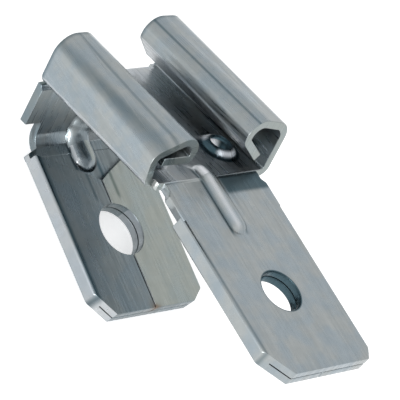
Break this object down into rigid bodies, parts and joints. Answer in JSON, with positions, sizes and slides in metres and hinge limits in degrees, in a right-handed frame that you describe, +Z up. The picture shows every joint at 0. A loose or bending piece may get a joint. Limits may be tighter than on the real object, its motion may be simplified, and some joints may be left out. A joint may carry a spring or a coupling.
{
  "type": "male spade terminal adapter",
  "caption": "Folded tinned-brass spade terminal adapter: a rolled push-on receptacle with flat male tabs that branch off forwards at an angle.",
  "frame": {"origin": "centre of the round hole in the lower tab, at that tab's underside, which is the face the part lies on", "axes": "+Z up from the surface it lies on, +X to the right across the tabs, -Y forwards to the tab tips, +Y rearwards to the blade entry"},
  "size_m": [0.0079, 0.0182, 0.0093],
  "materials": {
    "tinned_brass": "bright tin plate, satin with fine rolling marks"
  },
  "bodies": {
    "root": {"spade_adapter": "tinned_brass"}
  },
  "joints": []
}
